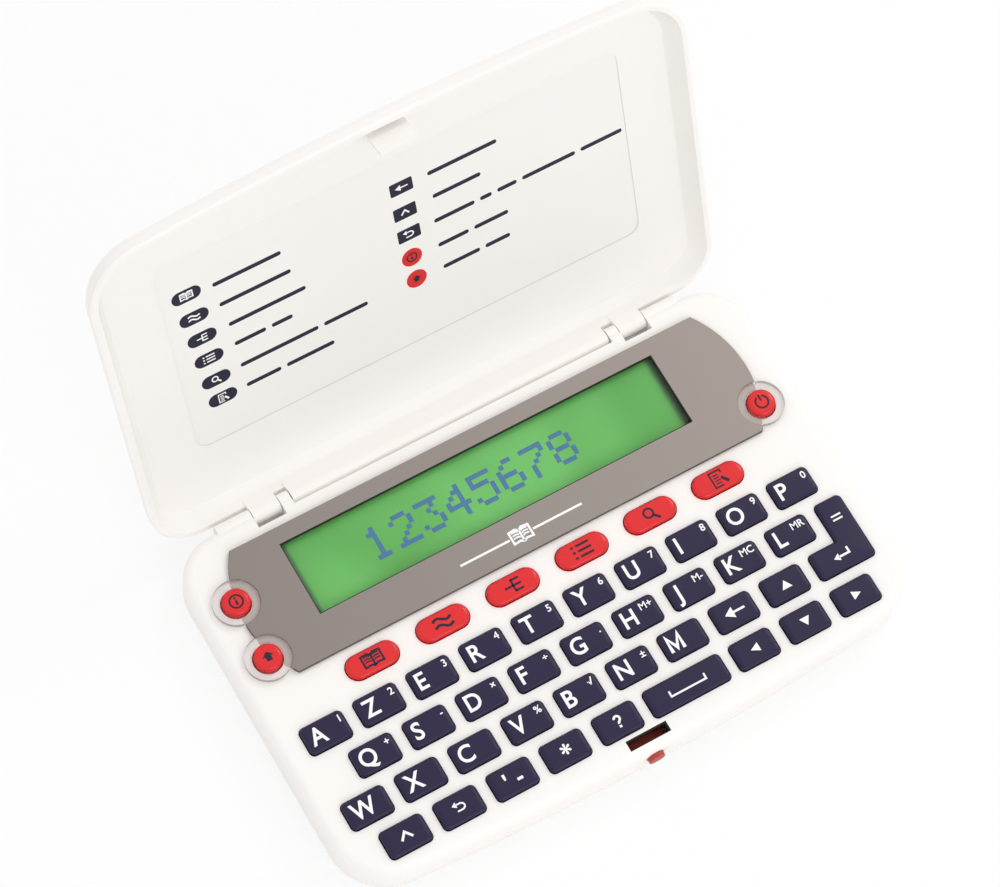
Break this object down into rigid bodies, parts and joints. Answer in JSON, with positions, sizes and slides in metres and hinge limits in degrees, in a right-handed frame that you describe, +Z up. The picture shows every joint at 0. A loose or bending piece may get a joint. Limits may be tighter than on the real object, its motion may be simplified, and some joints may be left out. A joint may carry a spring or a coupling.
{
  "type": "electronic dictionary",
  "caption": "Pocket electronic dictionary: flat white base with navy and red keys and a green display in a grey barrel-shaped bezel, and a hinged lid that opens past upright.",
  "frame": {"origin": "centre of the flat underside, on the surface that the base stands on", "axes": "+X to the user's right, +Y from the front edge to the hinge, +Z up out of the keys"},
  "size_m": [0.1252, 0.1153, 0.0786],
  "materials": {
    "case_white": "warm white moulded plastic, fine satin texture",
    "lid_white": "warm white moulded plastic, fine satin texture",
    "legend_panel": "printed plastic sheet, slightly creamier than the lid",
    "bezel_grey": "warm grey satin plastic",
    "clear_plastic": "clear acrylic",
    "display_glass": "green reflective liquid crystal display",
    "circuit_board": "solder-masked glass epoxy with soldered parts",
    "rubber_mat": "grey silicone rubber",
    "cell_steel": "nickel-plated steel cans",
    "screw_steel": "zinc-plated steel",
    "red_plastic": "bright red moulded plastic",
    "navy_key": "dark navy moulded keys with white print",
    "red_key": "bright red moulded keys with navy print"
  },
  "bodies": {
    "base": {"top_case": "case_white", "bottom_case": "case_white", "display_bezel": "bezel_grey", "lens_and_collars": "clear_plastic", "lcd_module": "display_glass", "circuit_board": "circuit_board", "key_mat": "rubber_mat", "battery_door": "case_white", "coin_cells": "cell_steel", "screws_and_pins": "screw_steel"},
    "lid": {"lid_shell": "lid_white", "legend_panel": "legend_panel"},
    "release_button": {"release_button": "red_plastic"},
    "key_a": {"key_a": "navy_key"},
    "key_z": {"key_z": "navy_key"},
    "key_e": {"key_e": "navy_key"},
    "key_r": {"key_r": "navy_key"},
    "key_t": {"key_t": "navy_key"},
    "key_y": {"key_y": "navy_key"},
    "key_u": {"key_u": "navy_key"},
    "key_i": {"key_i": "navy_key"},
    "key_o": {"key_o": "navy_key"},
    "key_p": {"key_p": "navy_key"},
    "key_q": {"key_q": "navy_key"},
    "key_s": {"key_s": "navy_key"},
    "key_d": {"key_d": "navy_key"},
    "key_f": {"key_f": "navy_key"},
    "key_g": {"key_g": "navy_key"},
    "key_h": {"key_h": "navy_key"},
    "key_j": {"key_j": "navy_key"},
    "key_k": {"key_k": "navy_key"},
    "key_l": {"key_l": "navy_key"},
    "key_w": {"key_w": "navy_key"},
    "key_x": {"key_x": "navy_key"},
    "key_c": {"key_c": "navy_key"},
    "key_v": {"key_v": "navy_key"},
    "key_b": {"key_b": "navy_key"},
    "key_n": {"key_n": "navy_key"},
    "key_m": {"key_m": "navy_key"},
    "key_delete": {"key_delete": "navy_key"},
    "key_up": {"key_up": "navy_key"},
    "key_control": {"key_control": "navy_key"},
    "key_function": {"key_function": "navy_key"},
    "key_symbols": {"key_symbols": "navy_key"},
    "key_star": {"key_star": "navy_key"},
    "key_query": {"key_query": "navy_key"},
    "key_left": {"key_left": "navy_key"},
    "key_down": {"key_down": "navy_key"},
    "key_right": {"key_right": "navy_key"},
    "key_space": {"key_space": "navy_key"},
    "key_enter": {"key_enter": "navy_key"},
    "mode_key_1": {"mode_key_1": "red_key"},
    "mode_key_2": {"mode_key_2": "red_key"},
    "mode_key_3": {"mode_key_3": "red_key"},
    "mode_key_4": {"mode_key_4": "red_key"},
    "mode_key_5": {"mode_key_5": "red_key"},
    "mode_key_6": {"mode_key_6": "red_key"},
    "key_help": {"key_help": "red_key"},
    "key_shift": {"key_shift": "red_key"},
    "key_power": {"key_power": "red_key"}
  },
  "joints": [
    {"name": "lid_hinge", "type": "hinge", "parent": "base", "child": "lid", "pos_m": [0, 0.0389, 0.00795], "axis": [1, 0, 0], "range_deg": [-6, 113.2]},
    {"name": "release_press", "type": "slide", "parent": "base", "child": "release_button", "axis": [0, 1, 0], "range_m": [0, 0.0005], "stiffness_N_per_m": 900},
    {"name": "key_a_press", "type": "slide", "parent": "base", "child": "key_a", "axis": [0, 0, -1], "range_m": [0, 0.0008], "stiffness_N_per_m": 600},
    {"name": "key_z_press", "type": "slide", "parent": "base", "child": "key_z", "axis": [0, 0, -1], "range_m": [0, 0.0008], "stiffness_N_per_m": 600},
    {"name": "key_e_press", "type": "slide", "parent": "base", "child": "key_e", "axis": [0, 0, -1], "range_m": [0, 0.0008], "stiffness_N_per_m": 600},
    {"name": "key_r_press", "type": "slide", "parent": "base", "child": "key_r", "axis": [0, 0, -1], "range_m": [0, 0.0008], "stiffness_N_per_m": 600},
    {"name": "key_t_press", "type": "slide", "parent": "base", "child": "key_t", "axis": [0, 0, -1], "range_m": [0, 0.0008], "stiffness_N_per_m": 600},
    {"name": "key_y_press", "type": "slide", "parent": "base", "child": "key_y", "axis": [0, 0, -1], "range_m": [0, 0.0008], "stiffness_N_per_m": 600},
    {"name": "key_u_press", "type": "slide", "parent": "base", "child": "key_u", "axis": [0, 0, -1], "range_m": [0, 0.0008], "stiffness_N_per_m": 600},
    {"name": "key_i_press", "type": "slide", "parent": "base", "child": "key_i", "axis": [0, 0, -1], "range_m": [0, 0.0008], "stiffness_N_per_m": 600},
    {"name": "key_o_press", "type": "slide", "parent": "base", "child": "key_o", "axis": [0, 0, -1], "range_m": [0, 0.0008], "stiffness_N_per_m": 600},
    {"name": "key_p_press", "type": "slide", "parent": "base", "child": "key_p", "axis": [0, 0, -1], "range_m": [0, 0.0008], "stiffness_N_per_m": 600},
    {"name": "key_q_press", "type": "slide", "parent": "base", "child": "key_q", "axis": [0, 0, -1], "range_m": [0, 0.0008], "stiffness_N_per_m": 600},
    {"name": "key_s_press", "type": "slide", "parent": "base", "child": "key_s", "axis": [0, 0, -1], "range_m": [0, 0.0008], "stiffness_N_per_m": 600},
    {"name": "key_d_press", "type": "slide", "parent": "base", "child": "key_d", "axis": [0, 0, -1], "range_m": [0, 0.0008], "stiffness_N_per_m": 600},
    {"name": "key_f_press", "type": "slide", "parent": "base", "child": "key_f", "axis": [0, 0, -1], "range_m": [0, 0.0008], "stiffness_N_per_m": 600},
    {"name": "key_g_press", "type": "slide", "parent": "base", "child": "key_g", "axis": [0, 0, -1], "range_m": [0, 0.0008], "stiffness_N_per_m": 600},
    {"name": "key_h_press", "type": "slide", "parent": "base", "child": "key_h", "axis": [0, 0, -1], "range_m": [0, 0.0008], "stiffness_N_per_m": 600},
    {"name": "key_j_press", "type": "slide", "parent": "base", "child": "key_j", "axis": [0, 0, -1], "range_m": [0, 0.0008], "stiffness_N_per_m": 600},
    {"name": "key_k_press", "type": "slide", "parent": "base", "child": "key_k", "axis": [0, 0, -1], "range_m": [0, 0.0008], "stiffness_N_per_m": 600},
    {"name": "key_l_press", "type": "slide", "parent": "base", "child": "key_l", "axis": [0, 0, -1], "range_m": [0, 0.0008], "stiffness_N_per_m": 600},
    {"name": "key_w_press", "type": "slide", "parent": "base", "child": "key_w", "axis": [0, 0, -1], "range_m": [0, 0.0008], "stiffness_N_per_m": 600},
    {"name": "key_x_press", "type": "slide", "parent": "base", "child": "key_x", "axis": [0, 0, -1], "range_m": [0, 0.0008], "stiffness_N_per_m": 600},
    {"name": "key_c_press", "type": "slide", "parent": "base", "child": "key_c", "axis": [0, 0, -1], "range_m": [0, 0.0008], "stiffness_N_per_m": 600},
    {"name": "key_v_press", "type": "slide", "parent": "base", "child": "key_v", "axis": [0, 0, -1], "range_m": [0, 0.0008], "stiffness_N_per_m": 600},
    {"name": "key_b_press", "type": "slide", "parent": "base", "child": "key_b", "axis": [0, 0, -1], "range_m": [0, 0.0008], "stiffness_N_per_m": 600},
    {"name": "key_n_press", "type": "slide", "parent": "base", "child": "key_n", "axis": [0, 0, -1], "range_m": [0, 0.0008], "stiffness_N_per_m": 600},
    {"name": "key_m_press", "type": "slide", "parent": "base", "child": "key_m", "axis": [0, 0, -1], "range_m": [0, 0.0008], "stiffness_N_per_m": 600},
    {"name": "key_delete_press", "type": "slide", "parent": "base", "child": "key_delete", "axis": [0, 0, -1], "range_m": [0, 0.0008], "stiffness_N_per_m": 600},
    {"name": "key_up_press", "type": "slide", "parent": "base", "child": "key_up", "axis": [0, 0, -1], "range_m": [0, 0.0008], "stiffness_N_per_m": 600},
    {"name": "key_control_press", "type": "slide", "parent": "base", "child": "key_control", "axis": [0, 0, -1], "range_m": [0, 0.0008], "stiffness_N_per_m": 600},
    {"name": "key_function_press", "type": "slide", "parent": "base", "child": "key_function", "axis": [0, 0, -1], "range_m": [0, 0.0008], "stiffness_N_per_m": 600},
    {"name": "key_symbols_press", "type": "slide", "parent": "base", "child": "key_symbols", "axis": [0, 0, -1], "range_m": [0, 0.0008], "stiffness_N_per_m": 600},
    {"name": "key_star_press", "type": "slide", "parent": "base", "child": "key_star", "axis": [0, 0, -1], "range_m": [0, 0.0008], "stiffness_N_per_m": 600},
    {"name": "key_query_press", "type": "slide", "parent": "base", "child": "key_query", "axis": [0, 0, -1], "range_m": [0, 0.0008], "stiffness_N_per_m": 600},
    {"name": "key_left_press", "type": "slide", "parent": "base", "child": "key_left", "axis": [0, 0, -1], "range_m": [0, 0.0008], "stiffness_N_per_m": 600},
    {"name": "key_down_press", "type": "slide", "parent": "base", "child": "key_down", "axis": [0, 0, -1], "range_m": [0, 0.0008], "stiffness_N_per_m": 600},
    {"name": "key_right_press", "type": "slide", "parent": "base", "child": "key_right", "axis": [0, 0, -1], "range_m": [0, 0.0008], "stiffness_N_per_m": 600},
    {"name": "key_space_press", "type": "slide", "parent": "base", "child": "key_space", "axis": [0, 0, -1], "range_m": [0, 0.0008], "stiffness_N_per_m": 600},
    {"name": "key_enter_press", "type": "slide", "parent": "base", "child": "key_enter", "axis": [0, 0, -1], "range_m": [0, 0.0008], "stiffness_N_per_m": 600},
    {"name": "mode_key_1_press", "type": "slide", "parent": "base", "child": "mode_key_1", "axis": [0, 0, -1], "range_m": [0, 0.0008], "stiffness_N_per_m": 600},
    {"name": "mode_key_2_press", "type": "slide", "parent": "base", "child": "mode_key_2", "axis": [0, 0, -1], "range_m": [0, 0.0008], "stiffness_N_per_m": 600},
    {"name": "mode_key_3_press", "type": "slide", "parent": "base", "child": "mode_key_3", "axis": [0, 0, -1], "range_m": [0, 0.0008], "stiffness_N_per_m": 600},
    {"name": "mode_key_4_press", "type": "slide", "parent": "base", "child": "mode_key_4", "axis": [0, 0, -1], "range_m": [0, 0.0008], "stiffness_N_per_m": 600},
    {"name": "mode_key_5_press", "type": "slide", "parent": "base", "child": "mode_key_5", "axis": [0, 0, -1], "range_m": [0, 0.0008], "stiffness_N_per_m": 600},
    {"name": "mode_key_6_press", "type": "slide", "parent": "base", "child": "mode_key_6", "axis": [0, 0, -1], "range_m": [0, 0.0008], "stiffness_N_per_m": 600},
    {"name": "key_help_press", "type": "slide", "parent": "base", "child": "key_help", "axis": [0, 0, -1], "range_m": [0, 0.0008], "stiffness_N_per_m": 600},
    {"name": "key_shift_press", "type": "slide", "parent": "base", "child": "key_shift", "axis": [0, 0, -1], "range_m": [0, 0.0008], "stiffness_N_per_m": 600},
    {"name": "key_power_press", "type": "slide", "parent": "base", "child": "key_power", "axis": [0, 0, -1], "range_m": [0, 0.0008], "stiffness_N_per_m": 600}
  ]
}
